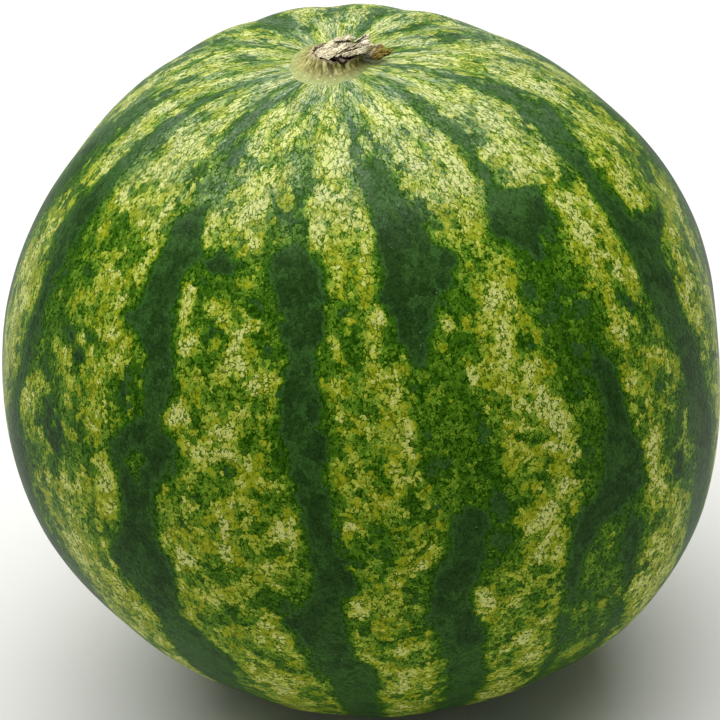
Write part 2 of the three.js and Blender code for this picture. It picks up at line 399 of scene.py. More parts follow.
# Paler (+) and deeper (-) patches in the stripes: lon, lat, half width, half height, lift
patches = [
    (-84, 58, 4, 8, 0.2), (-78, 52, 3, 5, 0.12), (-82, 30, 6, 9, 0.18), (-76, 37, 2, 2, -0.2),
    (-79, 14, 4, 8, 0.15),
    (-65, 65, 3, 8, 0.16), (-54, 65, 4, 8, 0.2), (-60, 67, 2, 6, -0.05), (-56, 56, 5, 7, 0.28),
    (-63, 46, 4, 4, 0.18), (-49, 45, 4, 5, 0.12), (-57, 44, 3, 4, -0.12), (-52, 38, 6, 4, 0.06),
    (-62, 36, 5, 5, -0.14), (-55, 32, 5, 1.5, 0.06), (-63, 25, 5, 6, -0.2), (-53, 27, 3, 3, -0.5),
    (-54, 27, 1.5, 1.2, 0.5), (-46, 27, 2, 5, 0.3), (-42, 25, 2.5, 6, -0.16), (-56, 19, 6, 4, -0.16),
    (-47, 17, 3, 3, 0.26), (-54, 20, 3, 1, 0.2), (-66, 11, 2.5, 4, 0.2), (-58, 10, 4, 3.5, -0.55),
    (-53, 4, 3.5, 5, 0.25), (-44, 6, 2.3, 5, 0.28), (-62, 3, 4, 4, -0.1), (-53, -6, 6, 5, 0.18),
    (-48, -17, 7, 8, 0.14),
    (-32, 66, 3, 4, 0.25), (-28, 69, 7, 6, 0.14), (-25, 55, 4, 4, 0.28), (-30, 53, 1, 1.2, -0.4),
    (-23, 50, 4, 3, 0.25), (-33, 48, 2, 2, 0.16), (-29, 44, 4, 2.5, -0.32), (-21, 46, 2.5, 4, 0.16),
    (-27, 40, 6, 5, -0.22), (-33, 38, 1.6, 3, 0.5), (-27, 37, 2.5, 1.6, 0.45), (-16, 37, 3, 6, -0.26),
    (-31, 32, 1.8, 2, 0.32), (-21, 33, 3, 3, 0.12), (-28, 34, 2, 1.6, -0.2), (-27, 24, 3, 2, -0.2),
    (-23, 27, 1.5, 4, 0.2), (-17, 28, 2.5, 3, 0.28), (-31, 21, 2.5, 2, 0.32), (-22, 20, 3, 3, 0.2),
    (-15, 20, 2, 3, -0.12), (-25, 14, 5, 3, 0.14), (-22, 14, 1.2, 0.9, -0.45), (-17, 13, 3, 2, 0.12),
    (-28, 9, 2, 1, -0.25), (-16, 9, 2, 2, -0.16), (-23, 8, 3, 3, 0.14), (-24, 2, 7, 4, 0.16),
    (-14, 4, 2, 4, 0.28), (-34, 1, 1.3, 2.5, 0.3), (-30, 4, 3, 1.5, -0.2), (-15, -1, 4, 2, 0.2),
    (-31, -2, 2, 2, 0.25), (-25, -4, 2, 1.6, -0.3), (-17, -7, 3, 2.5, -0.3), (-27, -8, 3, 2, 0.1),
    (-18, -18, 3, 2.5, 0.2), (-28, -14, 3, 4, -0.08), (-20, -28, 5, 7, 0.18), (-27, -24, 2, 3, -0.2),
    (-5, 66, 4, 8, 0.2), (-7, 55, 3, 6, 0.3), (-7, 49, 2, 3, 0.25), (1, 66, 2, 6, 0.06),
    (-3, 44, 1.3, 4, 0.22), (2, 44, 1.5, 3, 0.22), (-7, 43, 2, 3, -0.24), (6, 44, 3, 5, -0.3),
    (0, 41, 4, 1.2, 0.2), (-4, 34, 4, 5, -0.26), (5, 35, 3, 6, -0.3), (3, 35, 1.2, 3, 0.5),
    (-5, 32, 1.3, 2, 0.4), (-4, 27, 1.3, 3, 0.2), (-3, 24, 3, 3, -0.16), (2, 25, 2, 4, 0.12),
    (5, 26, 1.6, 2.5, 0.3), (-4, 18, 3, 2.5, -0.12), (6, 19, 1.5, 3, 0.2), (-5, 12, 1.5, 1.6, 0.2),
    (3, 12, 1.3, 3, 0.3), (1, 9, 1.5, 1, 0.2), (2, 4, 4, 5, -0.14), (-4, 6, 1, 1, 0.3),
    (-3, 2, 2, 4, -0.24), (2, -5, 1, 2, 0.36), (-3, -3, 3, 3, -0.24), (0, -10, 3.5, 4, 0.18),
    (5, -14, 2, 3, -0.12), (2, -19, 3, 2, 0.16), (2, -27, 2, 5, 0.18), (2, -42, 3, 6, 0.16),
    (18, 72, 6, 3, 0.16), (19, 66, 3, 4, 0.26), (27, 66, 4, 5, 0.2), (21, 60, 3, 3, 0.26),
    (31, 56, 2.5, 4, 0.3), (25, 53, 4, 3, 0.22), (24, 48, 4, 2.5, 0.12), (30, 45, 2, 3, -0.2),
    (28, 37, 4, 3, 0.06), (18, 37, 4, 3, -0.26), (15, 34, 1, 1.2, 0.6), (22, 32, 2, 2, 0.3),
    (26, 34, 2, 2, 0.16), (22, 30, 1.2, 1, -0.4), (16, 31, 2, 4, -0.2), (23, 26, 3, 4, 0.16),
    (18, 22, 1.5, 2, 0.26), (28, 23, 2, 2, 0.22), (28, 28, 1.6, 2, -0.3), (24, 17, 4, 4, 0.14),
    (29, 14, 3, 4, 0.28), (24, 11, 3, 2, 0.2), (25, 14, 1.2, 1, -0.4), (18, 13, 2, 5, -0.1),
    (25, 8, 1.6, 1, -0.3), (29, 7, 2.5, 4, 0.2), (25, 3, 3, 3, 0.16), (19, 6, 2, 3, -0.16),
    (25, -2, 2.2, 5, 0.22), (19, -3, 2.5, 3, -0.25), (15, -11, 1.4, 3.5, 0.4), (22, -12, 4, 4, -0.14),
    (18, -16, 1.5, 4, 0.12), (22, -25, 5, 6, 0.16), (22, -42, 5, 7, 0.16),
    (50, 66, 4, 5, 0.22), (58, 67, 5, 3, 0.14), (62, 60, 3, 3, 0.16), (54, 62, 4, 3, 0.16),
    (42, 54, 3, 3, 0.16), (53, 57, 5, 3, 0.16), (55, 52, 4, 3, 0.2), (50, 44, 3, 5, 0.26),
    (56, 43, 2.5, 3, 0.22), (55, 46, 3, 1, -0.45), (44, 42, 2.5, 3, -0.2), (50, 35, 3, 5, 0.28),
    (55, 37, 2, 4, 0.22), (54, 29, 2.5, 2, 0.2), (50, 27, 1.6, 2, -0.3), (46, 23, 1.8, 5, 0.3),
    (52, 22, 3, 5, -0.28), (46, 15, 2.5, 3, 0.24), (55, 12, 2.5, 2.5, 0.2), (51, 13, 1.3, 3, -0.26),
    (47, 5, 2, 3, 0.24), (47, 2, 1.5, 1.5, 0.25), (53, 4, 3.5, 4, -0.25), (47, -3, 2.5, 3, 0.2),
    (52, -3, 2, 2, -0.45), (57, -2, 3, 3, -0.16), (50, -14, 5, 5, 0.14), (47, -22, 4, 6, 0.14),
    (83, 58, 5, 10, 0.18), (73, 44, 5, 5, 0.24), (83, 46, 4, 5, 0.16), (67, 38, 3, 4, 0.14),
    (85, 36, 4, 2, -0.3), (69, 20, 3, 6, 0.24), (74, 27, 4, 3, 0.14), (83, 28, 4, 4, 0.14),
    (78, 24, 3, 3, -0.3),
    # the mottled mid green ground beside the stripes
    (-38.5, 12, 1.6, 3, 0.26), (36.5, 28, 4, 12, -0.07), (36, -7, 1.5, 2.5, 0.14), (12, 22, 3, 10, 0.05),
    (-16, 62, 4, 10, 0.08), (8, 66, 4, 5, 0.08), (-45, 64, 4, 8, 0.08), (73, 63, 4, 5, 0.06),
    (36, -20, 4, 12, 0.02),
    # broad lifts and darkenings; the darkenings at the sides and low on the front are painted shade
    (-54, 5, 9, 14, -0.1), (0, -34, 400, 16, 0.06), (50, 8, 7, 13, -0.06), (2, 15, 5, 10, -0.04),
    (22, -20, 5, 8, 0.06), (-20, -20, 7, 9, -0.06), (2, -20, 5, 9, -0.08), (85, 62, 6, 10, 0.06),
    (40, 72, 30, 5, 0.05), (30, 79, 20, 5, 0.16), (-30, 79, 25, 5, -0.14), (140, 77, 12, 6, 0.08),
    (-145, 77, 12, 7, -0.18), (90, 76, 12, 6, -0.08), (-90, 76, 14, 6, 0.12), (65, 52, 5, 8, 0.06),
    (38, 50, 7, 5, 0.05), (-40, 52, 4, 5, 0.06), (-40, 58, 3.5, 10, 0.2),
    # painted shade: darker lines along the creases around the foot of the stem
    (55, 80.3, 17, 1.1, -0.28), (-52, 79.5, 14, 1.2, -0.2),
]

# Tone of the skin: plain dark ground, mid green between, pale stripes
rindLevels = {
    "plain": 0.05,
    "middle": 0.33,
    "light": 0.57,
    "edge": (-1.6 * mm, 2.4 * mm),
    "plainEdge": (-1.2 * mm, 1.6 * mm),
    "farBorder": -6 * mm,
    "near": (74.0, 82.0),
    "stem": 0.18,
    "stemSpread": 11.0,
    "upper": 0.12,
    "upperRange": (43.0, 62.0),
    "raggedSize": 7 * mm,
    "ragged": 4 * mm,
    "stripeTorn": 0.5,
    "plainTorn": 0.4,
    "farTorn": 2.0,
    "patchEdge": (0.6, 1.2),
}


def smoothStep(low, high, value):
    share = np.clip((value - low) / (high - low), 0, 1)
    return share * share * (3 - 2 * share)


def turnApart(lon, middle):
    return (lon - middle + 180) % 360 - 180


def metresAround(lat):
    # Metres on the skin for one degree of lon
    return fruit["radius"] * np.cos(np.radians(lat)) * math.pi / 180


def depthInside(bands, lon, lat, ending=False):
    # How far a place lies inside the nearest of the bands, in metres; negative outside. Where the
    # bands are ending, they stop at their first and last lat.
    depth = np.full(lon.shape, -1.0)
    for edges in bands:
        lats = sorted(edges)
        left = np.interp(lat, lats, [edges[at][0] for at in lats])
        right = np.interp(lat, lats, [edges[at][1] for at in lats])
        inside = (right - left) / 2 - np.abs(turnApart(lon, (left + right) / 2))
        inside = inside * metresAround(lat)
        if ending:
            beyond = np.maximum(lat - lats[-1], lats[0] - lat) * fruit["radius"] * math.pi / 180
            inside = np.minimum(inside, -beyond)
        depth = np.maximum(depth, inside)
    return depth


def swing(lat, slow, fast, share, phases):
    turn = np.radians(lat)
    return np.sin(turn * slow + phases[0]) + share * np.sin(turn * fast + phases[1])


def farDepth(lon, lat):
    depth = np.full(lon.shape, -1.0)
    draw = np.random.default_rng(farStripes["seed"])
    calm = np.clip((farStripes["calmFrom"] - lat) / farStripes["calmOver"], 0, 1)
    for middle, half in farStripes["middles"]:
        phases = draw.uniform(0, 2 * math.pi, 6)
        wander = swing(lat, *farStripes["wanderWaves"], phases[:2])
        leftWaver = swing(lat, *farStripes["leftWaves"], phases[2:4])
        rightWaver = swing(lat, *farStripes["rightWaves"], phases[4:])
        offset = turnApart(lon, middle + farStripes["wander"] * wander * calm)
        width = half * (farStripes["stemEnd"] + (1 - farStripes["stemEnd"]) * calm)
        left = width + farStripes["waver"] * leftWaver * calm / 2 + offset
        right = width + farStripes["waver"] * rightWaver * calm / 2 - offset
        depth = np.maximum(depth, np.minimum(left, right) * metresAround(lat))
    return depth


def farPatches():
    draw = np.random.default_rng(farStripes["seed"] + 1)
    found = []
    for middle, half in farStripes["middles"]:
        for lat in range(-70, 70, 14):
            lift = draw.choice(farStripes["patchLifts"])
            size = draw.uniform(*farStripes["patchSize"], 2)
            lon = middle + draw.uniform(-half, half)
            found.append((lon, lat + draw.uniform(-6, 6), size[0], size[1], lift))
    return found


def paintRind(piece):
    mesh = piece.data
    places = np.empty(len(mesh.vertices) * 3)
    mesh.vertices.foreach_get("co", places)
    places = places.reshape(-1, 3) - (0, 0, middleHeight)
    lon = np.degrees(np.arctan2(places[:, 0], -places[:, 1]))
    lat = np.degrees(np.arctan2(places[:, 2], np.hypot(places[:, 0], places[:, 1])))
    levels = rindLevels
    sway = np.array([noise.fractal(Vector(spot) / levels["raggedSize"], 0.8, 2.0, 3) for spot in places])
    torn = sway * levels["ragged"]
    stripe = np.maximum(depthInside(stripes, lon, lat), farDepth(lon, lat))
    light = smoothStep(*levels["edge"], stripe + torn * levels["stripeTorn"])
    away = smoothStep(*levels["near"], np.abs(lon))
    ground = depthInside(darkGround, lon, lat, ending=True) + torn * levels["plainTorn"]
    ground = smoothStep(*levels["plainEdge"], ground)
    farGround = levels["farBorder"] - stripe + torn * levels["farTorn"]
    farGround = smoothStep(*levels["plainEdge"], farGround)
    plain = ground * (1 - away) + farGround * away
    level = levels["middle"] + (levels["light"] - levels["middle"]) * light
    level += (levels["plain"] - levels["middle"]) * plain * (1 - light)
    level += levels["upper"] * smoothStep(*levels["upperRange"], lat)
    level += levels["stem"] * np.exp(-((90 - lat) / levels["stemSpread"]) ** 2)
    for patchLon, patchLat, halfWidth, halfHeight, lift in patches + farPatches():
        apart = np.hypot(turnApart(lon, patchLon) / halfWidth, (lat - patchLat) / halfHeight)
        level += lift * (1 - smoothStep(*levels["patchEdge"], apart + sway))
    values = mesh.attributes.new("stripeLevel", "FLOAT", "POINT")
    values.data.foreach_set("value", level.astype(np.float32))


# The rind's skin: pebbly cells with dark gaps, each of one tone, in clusters and wide clouds

rind = {
    "cellSize": 1.55,
    "clusterSize": 4.6,
    "cloudSize": 11.0,
    "oliveSize": 7.0,
    "speckSpacing": 3.0,
    "bendSize": 1.1,
    "bend": 1.9,
    # where the grain starts to run to the stem and to the blossom end, as the sine of lat
    "upper": (0.68, 0.88),
    "lower": (-0.95, -0.4),
    "lowerStreak": 0.2,
    "streakStart": 0.46,
    # below the first tone the clouds have the least pull, above the second the whole
    "loose": (0.08, 0.52),
    "looseLeast": 0.2,
    "cloudPull": 0.76,
    "clusterPull": 0.48,
    "cellPull": 0.16,
    "upperContrast": 0.35,
    "grainSize": 0.45,
    "grainPull": 0.16,
    # painted highlight on the rims of the cells
    "cellRimHighlightPull": 0.17,
    "ringSize": 1.9,
    "ringLift": 0.15,
    "ringWidth": (0.03, 0.1),
    "ringTones": (0.15, 0.28, 0.42, 0.52),
    "ringBreakSize": 2.2,
    # base colours by tone, from the plain dark stripe to the palest crumbs
    "stops": [
        (0.00, "2A481E"),
        (0.08, "3C622B"),
        (0.16, "40692E"),
        (0.22, "2C5608"),
        (0.32, "37640E"),
        (0.43, "4A7618"),
        (0.54, "5C8820"),
        (0.62, "769C2C"),
        (0.69, "97B23A"),
        (0.78, "B4C242"),
        (0.90, "C6CE50"),
        (1.00, "D8DE82"),
    ],
    "olive": "9CA60C",
    "oliveShare": 0.7,
    "oliveEdge": (0.46, 0.54),
    "oliveTones": (0.5, 0.6, 0.72, 0.8),
    # painted sheen: the whitish reflection of the light on the upper side, its shares, and the sizes of its
    # glints and drift
    "paintedSheen": "CBD2CB",
    "paintedSheenShare": 0.17,
    "stemPaintedSheen": 0.1,
    "stemPaintedSheenFrom": (0.93, 0.985),
    "sheenDriftSize": 9.0,
    "sheenGlintSize": 0.7,
    "crackleSize": 3.0,
    "crackleWidth": (0.015, 0.07),
    "crackle": 0.9,
    "gapUneven": 0.08,
    "mergeSize": 1.6,
    "merge": 0.8,
    "gap": (0.03, 0.12),
    "upperGap": 0.035,
    "gapTint": (0.13, 0.25, 0.03, 1.0),
    # painted glints, as pale specks
    "glintSpeck": "D8E4C8",
    "speckWidth": (0.03, 0.075),
    "speckShare": 0.7,
    "corkSize": 1.4,
    "scar": "A48C5C",
    "scarDark": "54401E",
    "scarEdge": (3.4, 4.4),
    "scarUneven": 3.0,
    "scarHeight": (-60.0, -50.0),
    "roughness": 0.36,
    "gloss": 0.03,
    "glossTint": (0.85, 1.0, 0.4, 1.0),
    "pebble": (0.15, 0.7),
    "pebbleStrength": 0.7,
    "pebbleHeight": 0.15 * mm,
}


def makeRindMaterial():
    material, graph, surface = newMaterial("rindSkin", {
        "Roughness": rind["roughness"],
        "Specular IOR Level": rind["gloss"],
        "Specular Tint": rind["glossTint"],
    })
    level = graph.attribute("stripeLevel")
    inMm = graph.scaled(graph.vector("SUBTRACT", graph.objectPlace(), (0, 0, middleHeight)), 1 / mm)
    x, y, z = graph.parts(inMm)
    far = graph.vector("LENGTH", inMm, out=1)
    across = graph.maths("SQRT", x * x + y * y) / far
    # near both ends the grain is squeezed sideways, so its cells become streaks that run to the stem
    upper = graph.mapped(z / far, *rind["upper"])
    start = graph.mapped(z / far, *rind["lower"], rind["lowerStreak"], 1.0) * rind["streakStart"]
    spread = graph.maths("SQRT", across * across + start * start) / (across + 0.001)
    grain = graph.joined(x * spread, y * spread, z)

    wobble = graph.noise(grain, rind["bendSize"], 2.0, 0.7, 1)
    shake = graph.vector("SUBTRACT", wobble, (0.5, 0.5, 0.5))
    bent = graph.vector("ADD", grain, graph.scaled(shake, rind["bend"]))
    fromCell = graph.cells(bent, rind["cellSize"])
    cell = graph.parts(fromCell.sibling("Color"))
    centre = fromCell.sibling("Position")
    # read at the middle of each cell, so that a cell has one tone and the zones have crisp edges
    cluster = graph.parts(graph.cells(centre, rind["clusterSize"], out=1))
    cloud = graph.noise(centre, rind["cloudSize"], 2.0, 0.6)
    oliveCloud = graph.noise(centre, rind["oliveSize"], 1.0)

    loose = graph.mapped(level, *rind["loose"], rind["looseLeast"], 1.0)
    clouds = (cloud - 0.5) * rind["cloudPull"] + (cluster[0] - 0.5) * rind["clusterPull"]
    clouds = clouds * (1 + upper * rind["upperContrast"])
    tone = level + (clouds + (cell[0] - 0.5) * rind["cellPull"]) * loose
    tone = tone + (graph.noise(inMm, rind["grainSize"], 1.0) - 0.5) * rind["grainPull"]
    # paler rings break up the mid green
    edges = graph.cells(bent, rind["ringSize"], "DISTANCE_TO_EDGE")
    green = graph.band(tone, *rind["ringTones"])
    broken = graph.mapped(graph.noise(inMm, rind["ringBreakSize"], 1.0), 0.42, 0.6)
    tone = tone + graph.fading(edges, *rind["ringWidth"]) * green * broken * rind["ringLift"]
    # painted highlight: each cell is lighter at its rim and darker in its middle, as if its bump caught the
    # light
    rim = graph.mapped(fromCell, 0.12, 0.42) * graph.mapped(tone, 0.1, 0.3, 0.3, 1.0) - 0.4
    crumbs = graph.ramp(tone + rim * rind["cellRimHighlightPull"], rind["stops"])
    flat = graph.mapped(oliveCloud, *rind["oliveEdge"]) * graph.band(tone, *rind["oliveTones"])
    flat = flat * rind["oliveShare"]
    zones = graph.mixColour(flat, crumbs, rind["olive"])
    # dark gaps between the cells, merged here and there into wider ones, and a net of fine lines
    merged = (graph.noise(grain, rind["mergeSize"], 2.0, 0.6) - 0.5) * rind["merge"]
    border = graph.cells(bent, rind["cellSize"], "DISTANCE_TO_EDGE") + merged
    border = border + (cell[1] - 0.5) * rind["gapUneven"] + upper * rind["upperGap"]
    gap = graph.fading(border, *rind["gap"]) * graph.mapped(tone, 0.08, 0.4, 0.5, 1.0)
    gap = gap * (1 - flat * 0.4)
    lines = graph.cells(bent, rind["crackleSize"], "DISTANCE_TO_EDGE")
    lines = graph.fading(lines, *rind["crackleWidth"]) * (upper * 0.7 + 0.3)
    crackle = lines * graph.mapped(tone, 0.1, 0.4, 0.3, rind["crackle"])
    gap = graph.maths("MAXIMUM", gap, crackle)
    # painted sheen: a whitish reflection of the light on the upper side and near the stem, painted into the
    # colour and broken into painted glints
    sheenGlints = graph.mapped(graph.noise(grain, rind["sheenGlintSize"], 2.0), 0.4, 0.6, 0.4, 1.6)
    paintedSheen = upper * rind["paintedSheenShare"] + graph.mapped(z / far, *rind["stemPaintedSheenFrom"]) * rind["stemPaintedSheen"]
    sheenDrift = graph.mapped(graph.noise(grain, rind["sheenDriftSize"], 1.0), 0.38, 0.62, 0.5, 1.5)
    paintedSheen = paintedSheen * sheenGlints * sheenDrift * graph.mapped(tone, 0.25, 0.55, 0.45, 1.0)
    sheen = graph.mixColour(paintedSheen, zones, rind["paintedSheen"])
    gapped = graph.mixColour(gap, sheen, rind["gapTint"], "MULTIPLY")
    # painted glints: a few pale specks of light
    speckSpot = graph.cells(inMm, rind["speckSpacing"])
    speckDraw = graph.parts(speckSpot.sibling("Color"))[0]
    glintSpeck = graph.fading(speckSpot, *rind["speckWidth"]) * speckDraw ** 3 * rind["speckShare"]
    glintSpecked = graph.mixColour(glintSpeck, gapped, rind["glintSpeck"])
    # the corky scar at the blossom end
    cork = graph.noise(inMm, rind["corkSize"], 3.0)
    fromAxis = across * far + (cork - 0.5) * rind["scarUneven"]
    scar = graph.fading(fromAxis, *rind["scarEdge"]) * graph.fading(z, *rind["scarHeight"])
    corky = graph.mixColour(graph.mapped(cork, 0.35, 0.65), rind["scarDark"], rind["scar"])
    scarred = graph.mixColour(scar, glintSpecked, corky)
    graph.feed(surface.inputs["Base Color"], scarred)

    pebble = graph.fading(fromCell, *rind["pebble"])
    bump = graph.bump(pebble, rind["pebbleStrength"], rind["pebbleHeight"])
    graph.feed(surface.inputs["Normal"], bump)
    return material


# The stem's foot and the torn bark on it, in millimetres from the fruit's axis

stem = {
    "footX": -2.2,
    "footY": -1.6,
    "footLean": 2.6,
    "footAround": 300,
    "footNarrow": 0.12,
    "footUneven": 1.7,
    "footTilt": 0.9,
    "footTiltTo": 215.0,
    "footSwell": 0.5,
    # radius and height above the rind: over the rim, up to the crust and down into the hollow top
    "footOutline": [
        (9.0, -1.2), (15.6, -0.6), (15.1, -0.15), (14.7, 0.1), (14.2, 0.3), (13.4, 0.42), (12.4, 0.6),
        (11.4, 0.9), (10.5, 1.3), (9.7, 1.8), (9.1, 2.4), (8.6, 3.0), (8.2, 3.6), (8.0, 4.0), (7.7, 4.1),
        (7.3, 3.9), (6.8, 3.2), (6.0, 2.7), (4.5, 2.4), (2.5, 2.4),
    ],
    "fluteCount": 19,
    "fluteDepth": 0.35,
    "fluteWander": 0.35,
    "flakeAround": 110,
    "flakeRows": 20,
    "flakeRound": 0.6,
    "tearWaves": (4, 34),
    "tearFall": 0.7,
    "fibreScale": (0.25, 1.4),
    "seed": 4,
    # outline is x, y from above; plane is the height on the axis and its rise per mm along x and y
    "flakes": [
        # the plug that fills the neck, painted dark as shade
        {"outline": [(-6.5, -3.5), (-3, -6), (1, -6.2), (5, -5.3), (8, -3), (8.4, 0.5), (6, 4), (1.5, 5),
                     (-3, 3.5), (-6.2, 0.5)],
         "plane": (3.2, 0, 0), "thick": 1.6, "ragged": 0.3, "rough": 0.2, "grain": 35, "shade": 1.3},
        # the broad cap on the left
        {"outline": [(-6.9, -3.3), (-5.0, -4.8), (-3.3, -6.6), (-2.1, -7.4), (-1.2, -6.6), (0.2, -5.4),
                     (1.3, -2.8), (3.1, -1.2), (5.5, 0.4), (6.3, 2.2), (4.3, 2.9), (1.6, 3.6), (0, 4.9),
                     (-1.5, 3.2), (-3.6, 1.3), (-5.6, -0.6)],
         "plane": (5.0, 0, 0.12), "thick": 0.9, "ragged": 0.2, "rough": 0.3, "grain": 60},
        # the curled lip at the back
        {"outline": [(0.4, 1.6), (2.4, 1.1), (4.2, 0.9), (5.8, 1.4), (7.2, 2.2), (6.6, 3.6), (5.6, 4.9),
                     (4.6, 5.3), (3.4, 4.4), (2.6, 3.8), (1.4, 3.8), (0, 3.2)],
         "plane": (6.5, 0, 0), "thick": 0.6, "ragged": 0.2, "rough": 0.25, "grain": 15},
        # the long ridge across the top
        {"outline": [(0.1, -7.0), (0.8, -7.2), (2.2, -5.8), (3.7, -4.1), (6.1, -3.2), (7.5, -2.4),
                     (9.5, -1.4), (11.6, -0.2), (11.0, 2.0), (11.8, 3.5), (10.8, 4.7), (9.1, 3.5),
                     (7.7, 1.9), (6.2, -0.2), (3.7, -2.4), (1.3, -4.0)],
         "plane": (5.6, 0, 0.1), "thick": 1.1, "ragged": 0.3, "rough": 0.45, "grain": 45},
        # the splinters that lie on it
        {"outline": [(0.7, -5.9), (1.2, -6.3), (2.3, -5.2), (4.4, -3.7), (6.5, -2.6), (7.6, -1.1),
                     (6.2, -1.9), (4.1, -2.8), (2.0, -4.1)],
         "plane": (6.2, 0, 0.1), "thick": 0.6, "ragged": 0.2, "rough": 0.3, "grain": 40},
        {"outline": [(6.3, -0.8), (6.9, -1.6), (8.4, 0), (9.9, 2.2), (10.6, 3.8), (9.6, 3.1), (8.1, 1.2)],
         "plane": (6.7, 0, 0), "thick": 0.6, "ragged": 0.2, "rough": 0.3, "grain": 50},
        # the tail that droops to a point
        {"outline": [(6.4, -1.9), (6.3, -2.8), (7.9, -3.5), (9.8, -4.3), (11.8, -4.8), (13.8, -4.7),
                     (15.6, -3.9), (17.3, -3.2), (19.1, -2.4), (17.1, -2.1), (15.9, -1.2), (14.6, -0.4),
                     (12.2, -0.3), (10.2, -0.8), (8.2, -0.9)],
         "plane": (6.1, -0.08, 0.7), "thick": 1.1, "ragged": 0.5, "rough": 1.0, "grain": 5},
        # the flake under the tail's root
        {"outline": [(6.4, -4.3), (8.0, -5.9), (10.0, -5.9), (11.8, -4.7), (12.9, -3.4), (11.9, -2.6),
                     (9.8, -2.8), (7.8, -3.0)],
         "plane": (6.5, 0, 0.3), "thick": 0.8, "ragged": 0.3, "rough": 0.35, "grain": 15},
        # torn pieces along the front edge
        {"outline": [(2.2, -5.7), (2.4, -6.9), (4.1, -6.9), (5.8, -6.6), (8.2, -6.2), (9.3, -4.9),
                     (6.0, -4.4), (3.6, -4.9)],
         "plane": (6.4, 0, 0.3), "thick": 0.8, "ragged": 0.3, "rough": 0.4, "grain": 15},
        # painted dark as shade, under the flakes above it
        {"outline": [(0.8, -8.8), (0.5, -9.4), (1.1, -10), (1.9, -10.3), (2.9, -10.2), (4.0, -9.7),
                     (2.8, -9.2), (1.8, -8.9)],
         "plane": (15.7, 0, 1.2), "thick": 0.8, "ragged": 0.2, "rough": 0.3, "grain": 80, "shade": 1.3},
        # a chip on the left
        {"outline": [(-5.6, 0.9), (-5.1, 0.1), (-3.9, 0.5), (-2.8, 1.7), (-4.2, 1.6)],
         "plane": (5.3, 0, 0.1), "thick": 0.6, "ragged": 0.1, "rough": 0.15, "grain": 20},
    ],
}


def rindHeightFrom(piece):
    # Height of the rind straight below a place given in mm, in mm
    tree = BVHTree.FromObject(piece, bpy.context.evaluated_depsgraph_get())

    def height(x, y):
        return tree.ray_cast(Vector((x * mm, y * mm, 1)), Vector((0, 0, -1)))[0].z / mm

    return height


def closedShell(rows):
    # Places and faces of a closed shell, from rings given bottom to top; one place closes each end
    around = len(rows[1])
    places = [place for row in rows for place in row]
    top = len(places) - 1
    faces = []
    for ring in range(len(rows) - 3):
        low = 1 + ring * around
        for i in range(around):
            j = (i + 1) % around
            faces.append((low + i, low + j, low + around + j, low + around + i))
    last = top - around
    for i in range(around):
        j = (i + 1) % around
        faces.append((0, 1 + j, 1 + i))
        faces.append((last + i, last + j, top))
    return places, faces


def stemPiece(name, places, faces, material, attribute, values):
    mesh = bpy.data.meshes.new(name)
    mesh.from_pydata([Vector(place) * mm for place in places], [], faces)
    mesh.polygons.foreach_set("use_smooth", [True] * len(faces))
    layer = mesh.attributes.new(attribute, "FLOAT", "POINT")
    layer.data.foreach_set("value", values)
    mesh.materials.append(material)
    piece = addObject(name, mesh)
    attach(piece, "root")
    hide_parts("stem_stub")
    return piece


def footPlace(radius, height, grip, turn, rindHeight):
    cosine, sine = math.cos(turn), math.sin(turn)
    wave = math.cos(stem["fluteCount"] * turn + stem["fluteWander"] * math.sin(3 * turn))
    swell = noise.noise(Vector((3 * cosine, 3 * sine, height)))
    lobe = noise.noise(Vector((1.8 * cosine, 1.8 * sine, 5)))
    pull = radius + stem["fluteDepth"] * grip * wave + stem["footSwell"] * swell * (grip > 0)
    pull += stem["footUneven"] * (1 - grip) * lobe
    narrow = 1 - stem["footNarrow"] * (1 - grip)
    x = stem["footX"] + stem["footLean"] * grip + narrow * pull * cosine
    y = stem["footY"] + pull * sine
    tilt = stem["footTilt"] * grip * math.cos(turn - math.radians(stem["footTiltTo"]))
    return x, y, rindHeight(x, y) + height + tilt


def makeFoot(rindHeight, material):
    outline = stem["footOutline"]
    rings = [(0, outline[0][1])] + outline + [(0, outline[-1][1])]
    neck = max(height for radius, height in rings)
    crest = max(number for number, (radius, height) in enumerate(rings) if height == neck)
    seat = rindHeight(stem["footX"], stem["footY"])
    turns = [2 * math.pi * step / stem["footAround"] for step in range(stem["footAround"])]
    rows, rises = [], []
    for number, (radius, height) in enumerate(rings):
        grip = max(height, 0) / neck
        if radius:
            row = [footPlace(radius, height, grip, turn, rindHeight) for turn in turns]
        else:
            row = [(stem["footX"] + stem["footLean"] * grip, stem["footY"], seat + height)]
        # 0 at the rim and 1 at the crest; past it the rise goes on, down into the hollow top
        rises += [grip if number <= crest else 2 - grip] * len(row)
        rows.append(row)
    places, faces = closedShell(rows)
    return stemPiece("stemFoot", places, faces, material, "rise", rises)


def alongOutline(corners, steps):
    # Evenly spaced places around a closed outline
    loop = np.array(corners + corners[:1], float)
    lengths = np.hypot(*np.diff(loop, axis=0).T)
    passed = np.concatenate([[0], np.cumsum(lengths)])
    spots = np.linspace(0, passed[-1], steps, endpoint=False)
    return np.stack([np.interp(spots, passed, loop[:, axis]) for axis in (0, 1)], axis=1)


